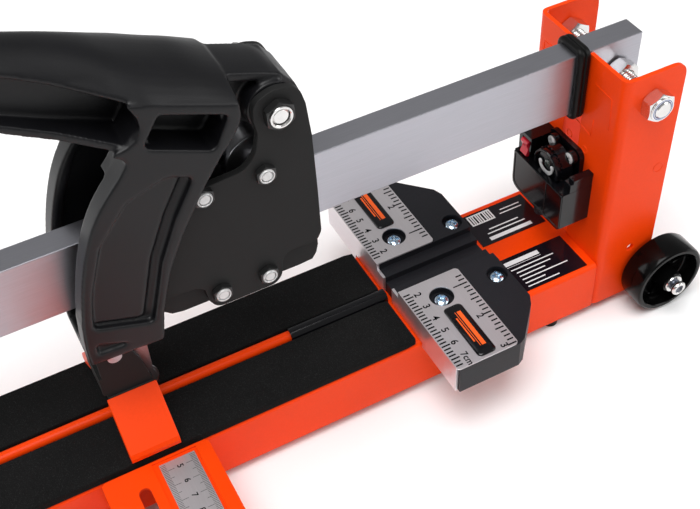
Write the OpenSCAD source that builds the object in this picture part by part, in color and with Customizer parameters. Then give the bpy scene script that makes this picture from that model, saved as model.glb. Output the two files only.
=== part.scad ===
// Tile cutter: single-rail manual cutter with lever carriage, breaking foot, fence and line laser.
// Millimetres. +X runs along the rail towards the fence end, +Z is up.
// Z is counted from the top face of the base inside the modules, and place() moves it to the floor.

/* [Base] */
// longest tile the cutter takes, fence to rail support
cut_length = 800; // [600:50:1200]
// half of the base width
base_hw = 39.6; // [36:0.2:50]
// depth of the folded base channel
base_h = 36.7; // [30:0.1:45]
// height of the rubber feet
foot_h = 6.8; // [4:0.1:10]
// thickness of the foam pads
pad_t = 4.9; // [4:0.1:7]

/* [Rail] */
// half thickness of the guide bar
bar_hw = 7.2; // [6:0.1:9]
// underside of the guide bar above the base
bar_z0 = 95.7; // [85:0.1:110]
// top of the guide bar above the base
bar_z1 = 135; // [120:0.1:150]
// sheet thickness of the rail supports
sheet = 2.5; // [2:0.1:4]

/* [Fence] */
// half length of the fence
fence_hl = 78; // [60:1:100]
// top of the scale plates above the base
fence_top = 16.8; // [14:0.1:22]

/* [Wheels] */
// transport wheel radius
wheel_r = 24; // [20:0.5:30]
// scoring wheel radius
score_r = 11; // [8:0.5:12]

/* [Hidden] */
$fn = 48;
tower_x = 121.5;
rear_x = -(cut_length + 62);
tower_d = 40;
rear_end = rear_x + sheet - tower_d;
wheel_x = 164;
wheel_z = -18.5;
x_off = -(rear_end + wheel_x + wheel_r) / 2;
z_off = base_h + foot_h;
bar_mid = (bar_z0 + bar_z1) / 2;
pad_x0 = -(cut_length + 38);
pivot_x = -64;
pivot_z = 180;
pin_x = -162.9;
pin_z = 59.8;
score_x = -152;
score_z = 19;
arm2_dx = -420;
grip_x = -198;
orange = [0.86, 0.22, 0.03];
black = [0.06, 0.06, 0.065];
steel = [0.75, 0.75, 0.77];

module place() {
  translate([x_off, 0, z_off]) children();
}
// box from low corner to high corner
module bx(a, b) {
  translate(a) cube([b[0] - a[0], b[1] - a[1], b[2] - a[2]]);
}
// profile drawn in x and z, filled from y0 to y1
module xz(y0, y1) {
  translate([0, y1, 0]) rotate([90, 0, 0]) linear_extrude(y1 - y0) children();
}
// profile drawn in y and z, filled from x0 to x1
module yz(x0, x1) {
  translate([x0, 0, 0]) rotate([90, 0, 90]) linear_extrude(x1 - x0) children();
}
// rod along y
module rod(x, z, r, y0, y1) {
  translate([x, y0, z]) rotate([-90, 0, 0]) cylinder(r=r, h=y1 - y0);
}
// hexagonal prism along y
module hex(x, z, r, y0, y1) {
  translate([x, y0, z]) rotate([-90, 0, 0]) cylinder(r=r, h=y1 - y0, $fn=6);
}
// rod along x
module rodx(y, z, r, x0, x1) {
  translate([x0, y, z]) rotate([0, 90, 0]) cylinder(r=r, h=x1 - x0);
}
// rod along z
module rodz(x, y, r, z0, z1) {
  translate([x, y, z0]) cylinder(r=r, h=z1 - z0);
}
// rectangle with round corners
module rr(x0, y0, x1, y1, r) {
  translate([x0 + r, y0]) square([x1 - x0 - 2 * r, y1 - y0]);
  translate([x0, y0 + r]) square([x1 - x0, y1 - y0 - 2 * r]);
  for (x = [x0 + r, x1 - r]) for (y = [y0 + r, y1 - r]) translate([x, y]) circle(r);
}
module both() {
  children();
  mirror([0, 1, 0]) children();
}

// ---- base ----
module base_channel() place() color(orange) {
  difference() {
    yz(rear_x + sheet + 0.05, tower_x - 0.05) difference() {
      union() {
        rr(-base_hw, -base_h, base_hw, 0, 3);
        translate([-base_hw, -base_h]) square([2 * base_hw, 12]);
      }
      translate([-base_hw + 2, -base_h + 2]) square([2 * base_hw - 4, base_h - 4]);
      translate([-base_hw + 12, -base_h - 1]) square([2 * base_hw - 24, 5]);
    }
    for (p = fence_holes) rodz(p[0], p[1], 2.6, -3, 1);
  }
}
module breaking_ridge() place() color(orange) {
  yz(pad_x0, -2) difference() {
    union() {
      translate([-3.2, 0.02]) square([6.4, 2.8]);
      translate([0, 2.8]) circle(3.2);
    }
    translate([-5, -5]) square([10, 5.02]);
  }
}
module ridge_sleeve() place() color(black) {
  yz(-64, -2) difference() {
    union() {
      translate([-4.4, 0.05]) square([8.8, 2.75]);
      translate([0, 2.8]) circle(4.4);
    }
    translate([-3.25, -2]) square([6.5, 4.8]);
    translate([0, 2.8]) circle(3.25);
    translate([-5, -3]) square([10, 3.05]);
  }
}
module pad() {
  bx([pad_x0, -base_hw + 0.2, 0.02], [-3.5, -4.7, pad_t]);
}
module pad_near() place() color([0.03, 0.03, 0.03]) {
  pad();
}
module pad_far() place() color([0.03, 0.03, 0.03]) {
  mirror([0, 1, 0]) pad();
}
module base_labels() place() color(black) {
  bx([70.5, -36.8, 0.02], [116, -8.2, 0.3]);
  bx([70.5, 6.6, 0.02], [116, 35, 0.3]);
}
module base_feet() place() color(black) {
  for (x = [96, -210, -520, rear_x + 42]) for (s = [-1, 1])
    rodz(x, s * 32.5, 5, -z_off, -base_h);
}
module guide_bar() place() color(steel) {
  bx([rear_x - 35, -bar_hw, bar_z0], [tower_x + 35, bar_hw, bar_z1]);
}
// sheet support, web facing the carriage
module tower(top, lobe) {
  difference() {
    union() {
      bx([0, -base_hw, -base_h], [sheet, base_hw, top]);
      both() xz(-base_hw, -base_hw + sheet) {
        translate([0, -base_h]) square([tower_d, base_h + top - 9]);
        translate([0, top - 10]) square([tower_d - 9, 10]);
        translate([tower_d - 9, top - 9]) circle(9);
        if (lobe) translate([wheel_x - tower_x, wheel_z]) circle(13);
      }
      bx([0, -base_hw + 1, -base_h], [tower_d - 2, base_hw - 1, -base_h + sheet]);
    }
    bx([-1, -bar_hw - 0.4, bar_z0 - 0.05], [sheet + 1, bar_hw + 0.4, top + 1]);
    rod(20, bar_mid, 5.1, -base_hw - 1, base_hw + 1);
    if (lobe) rod(wheel_x - tower_x, wheel_z, 4.02, -base_hw - 1, base_hw + 1);
    if (lobe) rod(23.5, 3, 2.6, -base_hw - 1, base_hw + 1);
  }
}
module tower_front() place() color(orange) {
  translate([tower_x, 0, 0]) tower(134.2, true);
}
module tower_rear() place() color(orange) {
  translate([rear_x + sheet, 0, 0]) mirror([1, 0, 0]) tower(134.2, false);
}
module bumper() {
  difference() {
    yz(0, 8) rr(-bar_hw - 4, bar_z0 - 4.2, bar_hw + 4, bar_z1 + 3.8, 4);
    yz(-1, 9) translate([-bar_hw - 0.05, bar_z0 - 0.05]) square([2 * bar_hw + 0.1, bar_z1 - bar_z0 + 0.1]);
  }
}
module rail_bumpers() place() color(black) {
  translate([tower_x - 8.6, 0, 0]) bumper();
  translate([rear_x + sheet + 0.6, 0, 0]) bumper();
}
clamp_x = [tower_x + 20, rear_x + sheet - 20];
module clamp_studs() place() color(steel) {
  for (x = clamp_x) both() rod(x, bar_mid, 5, -48.8, -bar_hw - 0.02);
}
module clamp_nuts() place() color(steel) {
  for (x = clamp_x) difference() {
    union() {
      hex(x, bar_mid, 9.2, -16.6, -8.2);
      hex(x, bar_mid, 9.2, 28.4, 36.8);
    }
    rod(x, bar_mid, 5.05, -60, 60);
  }
}
module clamp_locknuts() place() color(steel) {
  for (x = clamp_x) both() difference() {
    union() {
      hex(x, bar_mid, 9.2, -46.9, -base_hw - 0.05);
      rod(x, bar_mid, 7.6, -48, -46.9);
    }
    rod(x, bar_mid, 5.05, -60, 0);
    rod(x, bar_mid, 6.65, -51, -47.1);
  }
}
module locknut_rings() place() color([0.1, 0.25, 0.6]) {
  for (x = clamp_x) both() difference() {
    rod(x, bar_mid, 6.6, -47.9, -47.15);
    rod(x, bar_mid, 5.05, -60, 0);
  }
}

// ---- fence ----
module fence_outline(x0) {
  polygon([[x0, -fence_hl], [40, -fence_hl], [44, -76], [61, -57], [64.2, -51], [64.2, 46],
    [62, 52], [40, 75], [36, fence_hl], [x0, fence_hl]]);
}
fence_holes = [[20, -27.7], [20, 27.7], [56.9, -28.2], [56.9, 21.8]];
module fence_body() place() color(black) {
  difference() {
    translate([0, 0, -3]) linear_extrude(fence_top + 2.2) fence_outline(1.7);
    bx([0, -base_hw - 0.5, -4], [80, base_hw + 0.5, 0.05]);
    bx([0, -12.5, 12], [80, 12.5, 20]);
    bx([0, -4.6, 8], [80, 4.6, 20]);
    both() bx([0, -fence_hl - 1, fence_top - 0.85], [39.2, -12, 20]);
    for (p = fence_holes) {
      rodz(p[0], p[1], p[0] < 40 ? 7.2 : 6.2, 12, 20);
      rodz(p[0], p[1], 2.6, -5, 20);
    }
  }
}
module scale_plate() {
  difference() {
    union() {
      translate([0, 0, fence_top - 0.8]) linear_extrude(0.8) rr(0, -fence_hl + 0.2, 39.1, -12.6, 2.5);
      bx([0, -fence_hl + 2, 0.3], [1.6, -5, fence_top - 0.8]);
      bx([0, -fence_hl + 2, -3], [1.6, -base_hw - 0.5, 0.5]);
      bx([0, -fence_hl + 2, fence_top - 3], [1.6, -12.6, fence_top]);
    }
    rodz(20, -27.7, 7.2, 0, 30);
    bx([-1, -12.5, 12], [3, 0, 30]);
  }
}
module scale_plate_near() place() color(steel) {
  scale_plate();
}
module scale_plate_far() place() color(steel) {
  mirror([0, 1, 0]) scale_plate();
}
module fence_badges() place() color(black) {
  for (s = [-1, 1]) translate([20.5, s * 56.5, fence_top + 0.02])
    linear_extrude(1.4) rr(-5.8, -19.5, 5.8, 19.5, 3);
}
module fence_screws() place() color(steel) {
  for (p = fence_holes) {
    rodz(p[0], p[1], 4.6, 12.02, 15.3);
    rodz(p[0], p[1], 2.5, -8, 12.02);
  }
}

// ---- line laser ----
module laser_housing() place() color(black) {
  difference() {
    union() {
      bx([101.5, -24.5, 27], [tower_x - 0.1, 24.5, 53]);
      translate([118.4, 0, 0]) yz(0, 3) rr(-15, 40, 15, 70, 5);
      bx([104, 12.8, 52], [tower_x - 0.1, 24.5, 67]);
      bx([106, -13, 52], [118.5, 11.6, 56]);
    }
    rodx(-1.5, 56, 12.4, 104.2, 118.4);
    bx([100, 14, 51.5], [107.6, 21.5, 64.5]);
    rod(105.8, 58, 0.95, 13.2, 22.6);
    for (s = [-1, 1]) rodx(s * 9, 64, 2.1, 110, 130);
    rodz(106.5, 0, 2.1, 20, 33);
  }
}
module laser_screws() place() color(steel) {
  for (s = [-1, 1]) {
    rodx(s * 9, 64, 3.6, 116, 118.38);
    rodx(s * 9, 64, 2, 118.38, tower_x - 0.1);
  }
}
module laser_turret() place() color(black) {
  difference() {
    rodx(-1.5, 56, 12, 104.6, 115.7);
    rodx(-1.5, 56, 9.6, 104, 106);
  }
}
module laser_lens() place() color(steel) {
  rodx(-1.5, 56, 9.55, 104.9, 105.95);
  rodx(-1.5, 56, 2.9, 104.3, 104.9);
}
module laser_switch() place() color([0.7, 0.02, 0.04]) {
  bx([102.4, 14.5, 52.5], [106.7, 21, 63.5]);
  rod(105.8, 58, 0.9, 13.4, 22.4);
}
module laser_knob() place() color(black) {
  rodz(106.5, 0, 4.6, 19, 26.6);
  rodz(106.5, 0, 2, 26.6, 32);
}

// ---- transport wheels ----
module wheel() {
  difference() {
    union() {
      rod(wheel_x, wheel_z, wheel_r, -59, -41);
      rod(wheel_x, wheel_z, 7, -61.5, -50);
    }
    difference() {
      rod(wheel_x, wheel_z, wheel_r - 4, -60, -52);
      rod(wheel_x, wheel_z, 7.5, -60, -52);
    }
    rod(wheel_x, wheel_z, 4.06, -62, -40);
  }
}
module wheel_near() place() color(black) {
  wheel();
}
module wheel_far() place() color(black) {
  mirror([0, 1, 0]) wheel();
}
module wheel_axles() place() color(steel) {
  both() {
    rod(wheel_x, wheel_z, 4, -67, -31);
    difference() {
      rod(wheel_x, wheel_z, 6, -40.7, -base_hw - 0.02);
      rod(wheel_x, wheel_z, 3.9, -42, -39);
    }
  }
}
module wheel_nuts() place() color(steel) {
  both() difference() {
    union() {
      hex(wheel_x, wheel_z, 7.5, -37, -31.5);
      rod(wheel_x, wheel_z, 5.8, -62.9, -61.9);
      rod(wheel_x, wheel_z, 4.8, -67.9, -65.5);
    }
    rod(wheel_x, wheel_z, 4.05, -67.1, -20);
  }
}

// ---- side arms ----
module bracket() {
  bx([-190, -53, -33.5], [-179, -base_hw - 0.02, -30.5]);
  rodz(-184.5, -53, 5.5, -33.5, -30.5);
  bx([-190, -42.2, -36], [-179, -base_hw - 0.02, -30.5]);
}
module arm_brackets() place() color(orange) {
  difference() {
    union() {
      bracket();
      translate([arm2_dx, 0, 0]) mirror([0, 1, 0]) bracket();
    }
    rodz(-184.5, -53, 3.02, -40, -20);
    rodz(-184.5 + arm2_dx, 53, 3.02, -40, -20);
  }
}
module arm_pins() place() color(steel) {
  for (p = [[-184.5, -53], [-184.5 + arm2_dx, 53]]) {
    rodz(p[0], p[1], 3, -34.5, -3);
    rodz(p[0], p[1], 5, -36.5, -34.5);
  }
}
module arm() {
  difference() {
    translate([0, 0, -29.9]) linear_extrude(32) rr(-191.7, -191, -132, -41, 3);
    bx([-189.9, -189.2, -31], [-133.8, -30, 0.3]);
    bx([-164.4, -187, 1.1], [-139.6, -42.6, 3]);
    translate([-173.25, 0, -1]) linear_extrude(5) union() {
      translate([-3.25, -176.75]) square([6.5, 119.5]);
      for (y = [-176.75, -57.25]) translate([0, y]) circle(3.25);
    }
  }
  difference() {
    rodz(-184.5, -53, 5.8, -29.9, 0.5);
    rodz(-184.5, -53, 3.06, -31, -1.5);
  }
}
module arm_near() place() color(orange) {
  arm();
}
module arm_far() place() color(orange) {
  translate([arm2_dx, 0, 0]) mirror([0, 1, 0]) arm();
}
module ruler() {
  bx([-161.2, -186.5, 1.12], [-141.3, -44.6, 1.75]);
}
module arm_ruler_near() place() color(steel) {
  ruler();
}
module arm_ruler_far() place() color(steel) {
  translate([arm2_dx, 0, 0]) mirror([0, 1, 0]) ruler();
}
module stop() {
  difference() {
    union() {
      bx([-182, -168, 2.45], [-136, -150, 4.9]);
      bx([-182, -152.3, 2.45], [-136, -150, 16]);
      bx([-179.5, -166.5, -3.6], [-167, -153.5, -0.2]);
    }
    rodz(-173.25, -160, 2.95, -5, 1);
    rodz(-173.25, -160, 3.3, 1, 8);
  }
}
module stop_near() place() color(steel) {
  stop();
}
module stop_far() place() color(steel) {
  translate([arm2_dx, 0, 0]) mirror([0, 1, 0]) stop();
}
module stop_knob() {
  rodz(-173.25, -160, 2.9, -6, 5.3);
  difference() {
    rodz(-173.25, -160, 7, 5.3, 16);
    for (a = [0:45:359]) rodz(-173.25 + 8.4 * cos(a), -160 + 8.4 * sin(a), 2.2, 7, 20);
  }
}
module stop_knob_near() place() color(black) {
  stop_knob();
}
module stop_knob_far() place() color(black) {
  translate([arm2_dx, 0, 0]) mirror([0, 1, 0]) stop_knob();
}

// ---- carriage ----
up = [[-73.7, 148], [-105.1, 148]];
low = [[-78.8, 82.9], [-104.2, 82.9]];
low_z = 85.9;
module plate() {
  difference() {
    polygon([[-50, 91.1], [-47.5, 96], [-47.2, 100.6], [-47.5, 125.1], [-47.9, 160.1], [-49.7, 179.1],
      [-50.8, 185.1], [-53.5, 188.5], [-57.7, 190.7], [-62.5, 191.5], [-67.4, 190.7], [-71.2, 188.7],
      [-74.6, 185], [-75.8, 179.1], [-74.9, 171.1], [-76.4, 162.9], [-80.2, 156.5], [-85.6, 153.2],
      [-93.1, 152.8], [-120, 151], [-132, 148], [-137, 142], [-138, 134], [-138, 97], [-136, 93.5],
      [-132.2, 92.5], [-114.7, 90.4], [-112.3, 87.8], [-111.8, 80.6], [-109.9, 75.1], [-107, 72.5],
      [-75.8, 72.5], [-71.6, 74.7], [-69.9, 81.2], [-69.2, 88.2], [-65.5, 91.5]]);
    for (p = up) translate(p) circle(3.05);
    for (p = low) translate(p) circle(3.05);
    translate([pivot_x, pivot_z]) circle(5.03);
  }
}
module carriage_plate_near() place() color(black) {
  xz(-20.5, -16.5) plate();
}
module carriage_plate_far() place() color(black) {
  xz(16.5, 20.5) plate();
}
module lower_block() place() color(black) {
  difference() {
    xz(-16.4, 16.4) polygon([[-52, 75.2], [-49.5, 79], [-48.2, 84], [-48.2, 90], [-50, 93], [-134, 93],
      [-136, 90], [-134.5, 80.5], [-130, 76.3], [-124, 75], [-60, 74.6]]);
    for (p = low) {
      rod(p[0], low_z, 11.9, -10.6, 10.6);
      rod(p[0], low_z, 7.3, -20, 20);
    }
  }
}
module roller(x, z, r, fl, bore) {
  difference() {
    union() {
      rod(x, z, r, -10, 10);
      rod(x, z, fl, -10, -7.7);
      rod(x, z, fl, 7.7, 10);
    }
    rod(x, z, bore, -11, 11);
  }
}
module roller_upper_front() place() color(steel) {
  roller(up[0][0], up[0][1], 12.7, 14.6, 3.08);
}
module roller_upper_rear() place() color(steel) {
  roller(up[1][0], up[1][1], 12.7, 14.6, 3.08);
}
module roller_lower_front() place() color(steel) {
  roller(low[0][0], low_z, 9.5, 11.2, 7.27);
}
module roller_lower_rear() place() color(steel) {
  roller(low[1][0], low_z, 9.5, 11.2, 7.27);
}
module axle_bolts() place() color(steel) {
  for (p = concat(up, low)) {
    rod(p[0], p[1], 3, -24.1, 21);
    hex(p[0], p[1], 5.6, 20.52, 24.6);
  }
}
module axle_nuts() place() color(black) {
  for (p = concat(up, low)) difference() {
    union() {
      hex(p[0], p[1], 5.5, -23.6, -20.52);
      rod(p[0], p[1], 4, -24.3, -23.6);
    }
    rod(p[0], p[1], 3.05, -26, -20);
  }
}
module axle_spacers() place() color(steel) {
  for (p = up) both() difference() {
    rod(p[0], p[1], 5.4, -16.45, -10.35);
    rod(p[0], p[1], 3.05, -17, -10);
  }
  for (p = low) difference() {
    rod(p[0], low_z, 7.2, -16.4, 16.4);
    rod(p[0], p[1], 3.05, -17, 17);
  }
}
module pivot_bolt() place() color(steel) {
  rod(pivot_x, pivot_z, 5, -25.3, 21);
  hex(pivot_x, pivot_z, 9.2, 20.52, 26.9);
}
module pivot_nut() place() color(black) {
  difference() {
    union() {
      hex(pivot_x, pivot_z, 7.9, -24.8, -20.52);
      rod(pivot_x, pivot_z, 6.1, -25.6, -24.8);
    }
    rod(pivot_x, pivot_z, 5.05, -27.7, -20);
  }
}

// ---- lever ----
module leg_wall() {
  difference() {
    polygon([[-138.6, 75], [-135.6, 92.9], [-131.6, 107], [-127.9, 118.5], [-119, 136.6], [-109.6, 152],
      [-105.4, 158.8], [-95.5, 172.5], [-86.8, 183.1], [-84.2, 188], [-83.2, 192], [-84.5, 197],
      [-122, 211.8], [-127.5, 214.2], [-131.5, 213], [-128.2, 207], [-128, 202], [-130.5, 197.5],
      [-135, 195], [-140, 194.5], [-142, 192.5], [-138.6, 190.2], [-136.7, 187], [-141.1, 180.6],
      [-153.1, 165.9], [-162.8, 146.3], [-170.3, 120.9], [-174.8, 104], [-176.1, 90.2]]);
    head_window();
    leg_recess();
  }
}
module head_window() {
  polygon([[-119.6, 205.4], [-117, 205.8], [-91, 195.2], [-89.7, 192.5], [-96.4, 179.4], [-99, 178.2],
    [-126.4, 190.6], [-127.4, 193.4]]);
}
module leg_recess() {
  polygon([[-141, 90.6], [-143, 89.2], [-168.5, 98.6], [-169.6, 101], [-166.8, 118.9],
    [-157.2, 146.6], [-141.2, 166.1], [-122, 172.2], [-119.5, 171.8], [-111, 167.8], [-110.6, 165],
    [-121, 147.4], [-131.5, 124.4]]);
}
module rear_rim() {
  polygon([[-136.7, 187], [-141.1, 180.6], [-153.1, 165.9], [-162.8, 146.3], [-170.3, 120.9],
    [-174.8, 104], [-176.1, 90.2], [-172.2, 88.6], [-170.9, 103], [-166.5, 119.5], [-159.2, 144.2],
    [-149.8, 163], [-138, 177.6], [-131, 186]]);
}
module head_wall() {
  polygon([[-86.8, 183.1], [-83.7, 189], [-82.9, 194.2], [-84.5, 197], [-122, 211.8], [-128, 214.5],
    [-128, 202], [-136, 195], [-139.1, 190.8], [-136.7, 187], [-141.1, 180.6], [-145, 176],
    [-120, 176], [-98, 170]]);
}
// slice of the top cap: half width w, crease height c, crown height t
module cap_cut(x, w, c, t) {
  yz(x, x + 0.4) polygon([[-w, c - 5], [w, c - 5], [w, c], [w * 0.55, c + 0.72 * (t - c)],
    [0, t], [-w * 0.55, c + 0.72 * (t - c)], [-w, c]]);
}
module cap_run(a, b) {
  hull() {
    cap_cut(a[0], a[1], a[2], a[3]);
    cap_cut(b[0], b[1], b[2], b[3]);
  }
}
cap = [[-84, 28.5, 196.8, 206.5], [-121.5, 28.5, 211.8, 224], [-134, 23.6, 218, 229.8],
  [-155, 16.5, 229.3, 239.8], [-175, 14.2, 239.8, 247.6], [grip_x, 15, 250.6, 258]];
module rim_run(a, b) {
  hull() for (p = [a, b]) yz(p[0], p[0] + 0.4)
    translate([-p[1], p[2]]) square([2 * p[1], 4.5]);
}
rim = [[-134, 27, 190], [-160, 17.5, 202], [grip_x, 13, 221.5]];
module handle_body() place() color(black) {
  difference() {
    union() {
      both() xz(-28.5, -26.2) leg_wall();
      both() xz(-24.5, -22.8) polygon([[-139, 82], [-131, 110], [-108, 158], [-98, 172], [-120, 178],
        [-145, 174], [-158, 150], [-169, 120], [-173, 92]]);
      both() xz(-26.3, -24.4) difference() {
        polygon([[-139, 82], [-131, 110], [-108, 158], [-98, 172], [-120, 178],
          [-145, 174], [-158, 150], [-169, 120], [-173, 92]]);
        difference() {
          leg_recess();
          translate([-4.2, 4]) leg_recess();
        }
      }
      both() xz(-26.3, -17) rear_rim();
      both() xz(-26.3, -11.9) difference() {
        head_wall();
        head_window();
      }
      both() xz(-12, -9.9) head_wall();
      both() xz(-26.3, -20) polygon([[-176, 88], [-176, 78], [-139, 76], [-137.5, 82]]);
      // cross web and lug under the bar
      both() xz(-28.5, -8.2) polygon([[-176, 82], [-176, 76], [-140, 74.5], [-138.8, 80]]);
      both() xz(-14, 0.1) polygon([[-176, 75.5], [-176, 70.2], [-141, 70.2], [-141, 75.5]]);
      difference() {
        xz(-9.5, 9.5) union() {
          polygon([[-172, 75.5], [-171.9, 60], [-154, 59], [-145, 66], [-144, 75.5]]);
          translate([pin_x, pin_z]) circle(9);
        }
        rod(pin_x, pin_z, 3.06, -20, 20);
        bx([-159.3, -4.05, 45], [-143.7, 4.05, 68]);
      }
      // top cap, web and lower rim of the arm
      for (i = [0:4]) cap_run(cap[i], cap[i + 1]);
      for (i = [0:1]) rim_run(rim[i], rim[i + 1]);
      xz(-7, 7) polygon([[-84, 200], [-84, 186], [-110, 186], [-134, 191], [-160, 203], [grip_x, 223],
        [grip_x, 248], [-175, 237], [-155, 227]]);
      both() xz(-23, -6.9) polygon([[-124, 210], [-128, 213], [-128, 202], [-134, 194], [-137, 190],
        [-124, 188]]);
      // neck between the plates with the pivot boss
      xz(-7, 7) polygon([[-86, 207.5], [-80, 205.5], [-68, 201.3], [-57.4, 197], [-51.2, 189.6],
        [-48.9, 183.5], [-48.5, 177], [-51, 170.5], [-57, 165.8], [-64, 164.3], [-71, 165.8],
        [-78, 170.5], [-84, 179], [-88, 190]]);
      xz(-16.2, 16.2) polygon([[-92, 207.5], [-86, 207.5], [-80, 205.5], [-68, 201.3], [-57.4, 197],
        [-51.2, 189.6], [-48.9, 183.5], [-53, 182], [-55.6, 187.4], [-60, 192.9], [-69.6, 197],
        [-81.6, 201.2], [-92, 203]]);
      rod(pivot_x, pivot_z, 13, -16.2, 16.2);
      both() xz(-24, -6.9) polygon([[-92, 207], [-86, 203], [-86, 188], [-92, 186]]);
      tang(7);
    }
    rod(pivot_x, pivot_z, 5.06, -20, 20);
  }
}
// steel core of the grip
module tang(r) {
  translate([grip_x + 6, 0, 236]) rotate([0, -67, 0]) cylinder(r=r, h=118);
}
module grip_cut(x, z, h, w) {
  translate([x, 0, z]) rotate([0, 90, 0]) scale([h / 2, w / 2, 1]) cylinder(r=1, h=0.5, $fn=32);
}
grip = [[grip_x - 0.6, 238, 38, 31], [grip_x - 28, 251, 36, 30], [-300, 281.5, 36, 31],
  [-318, 287.5, 34, 32], [-326, 290, 22, 21]];
module handle_grip() place() color([0.03, 0.03, 0.03]) {
  difference() {
    for (i = [0:3]) hull() for (g = [grip[i], grip[i + 1]]) grip_cut(g[0], g[1], g[2], g[3]);
    tang(7.08);
  }
}
module wheel_holder() place() color(steel) {
  difference() {
    xz(-4, 4) polygon([[-159.2, 67.9], [-144, 67.9], [-144, 14], [-147, 11.5], [-156.4, 11.5], [-159.2, 14]]);
    bx([-170, -1.9, 5], [-130, 1.9, 30.6]);
    rod(score_x, score_z, 2.42, -5, 5);
  }
}
module wheel_axle() place() color(steel) {
  rod(score_x, score_z, 2.4, -4.6, 4.6);
}
module scoring_wheel() place() color(steel) {
  difference() {
    union() {
      rod(score_x, score_z, score_r - 1.2, -1.5, 1.5);
      rod(score_x, score_z, score_r, -0.5, 0.5);
    }
    rod(score_x, score_z, 2.46, -5, 5);
  }
}

// ---- breaking foot ----
module foot_half() {
  difference() {
    union() {
      xz(-13, -10) union() {
        polygon([[-171.8, 30.5], [-147, 30.5], [-150.5, 50], [-153.6, 58], [-172.2, 58]]);
        translate([pin_x, pin_z]) circle(9.4);
      }
      yz(-171.8, -147) polygon([[-13, 33.5], [-10, 33.5], [-10, 29.4], [-38, 8.2], [-38, 11.2], [-13, 31]]);
    }
    rod(pin_x, pin_z, 3.02, -20, 0);
  }
}
module foot_bracket() place() color(black) {
  both() foot_half();
  bx([-173.6, -13, 33], [-171.2, 13, 46]);
}
module foot_covers() place() color(orange) {
  both() difference() {
    yz(-173, -145.8) polygon([[-14.6, 31.6], [-14.6, 24.7], [-36.6, 6.3], [-40, 6.3], [-40.6, 7.2],
      [-40.6, 9.6], [-39.4, 12.1]]);
    yz(-171.9, -146.9) polygon([[-10, 33.5], [-10, 29.3], [-38.1, 8.1], [-38.1, 11.3], [-13, 31.15]]);
  }
}
module foot_pin() place() color(steel) {
  rod(pin_x, pin_z, 3, -13.8, 13.8);
  both() rod(pin_x, pin_z, 3.8, -14.4, -13.02);
}

base_channel();
breaking_ridge();
ridge_sleeve();
pad_near();
pad_far();
base_labels();
base_feet();
guide_bar();
tower_front();
tower_rear();
rail_bumpers();
clamp_studs();
clamp_nuts();
clamp_locknuts();
locknut_rings();
fence_body();
scale_plate_near();
scale_plate_far();
fence_badges();
fence_screws();
laser_housing();
laser_screws();
laser_turret();
laser_lens();
laser_switch();
laser_knob();
wheel_near();
wheel_far();
wheel_axles();
wheel_nuts();
arm_brackets();
arm_pins();
arm_near();
arm_ruler_near();
stop_near();
stop_knob_near();
arm_far();
arm_ruler_far();
stop_far();
stop_knob_far();
carriage_plate_near();
carriage_plate_far();
lower_block();
roller_upper_front();
roller_upper_rear();
roller_lower_front();
roller_lower_rear();
axle_bolts();
axle_nuts();
axle_spacers();
pivot_bolt();
pivot_nut();
handle_body();
handle_grip();
wheel_holder();
wheel_axle();
scoring_wheel();
foot_bracket();
foot_covers();
foot_pin();
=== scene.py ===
"""Tile cutter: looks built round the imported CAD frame.

Lengths in the helpers are millimetres in the machine's own axes: x counts from the fence's front
face towards the laser, y from the cut line, z from the base's top face. TO_FRAME turns them into
the row frame, in metres.
"""

import math

import bmesh
import bpy
from mathutils import Matrix, Vector


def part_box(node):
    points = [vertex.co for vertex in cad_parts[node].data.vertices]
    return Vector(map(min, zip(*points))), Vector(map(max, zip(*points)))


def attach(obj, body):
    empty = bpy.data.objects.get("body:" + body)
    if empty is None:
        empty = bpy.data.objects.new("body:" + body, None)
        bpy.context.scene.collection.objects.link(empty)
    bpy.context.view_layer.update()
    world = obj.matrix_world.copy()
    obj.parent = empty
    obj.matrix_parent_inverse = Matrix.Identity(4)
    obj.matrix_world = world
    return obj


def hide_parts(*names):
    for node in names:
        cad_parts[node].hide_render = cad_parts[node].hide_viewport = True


MM = 0.001
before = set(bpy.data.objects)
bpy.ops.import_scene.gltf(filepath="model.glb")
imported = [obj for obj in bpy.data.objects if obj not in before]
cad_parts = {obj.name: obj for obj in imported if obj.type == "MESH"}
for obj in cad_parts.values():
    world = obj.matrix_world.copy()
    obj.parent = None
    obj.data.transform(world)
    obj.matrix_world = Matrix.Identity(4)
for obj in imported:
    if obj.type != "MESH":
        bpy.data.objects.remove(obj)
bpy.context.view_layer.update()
scene = bpy.context.scene

ZERO = Vector((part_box("scale_plate_near")[0][0], 0.0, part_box("base_channel")[1][2]))
TO_FRAME = Matrix.Translation(ZERO) @ Matrix.Scale(MM, 4)


def span(node):
    """A CAD node's box in machine millimetres."""
    low, high = (Vector(c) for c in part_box(node))
    return (low - ZERO) / MM, (high - ZERO) / MM


# ---- materials ----


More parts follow.
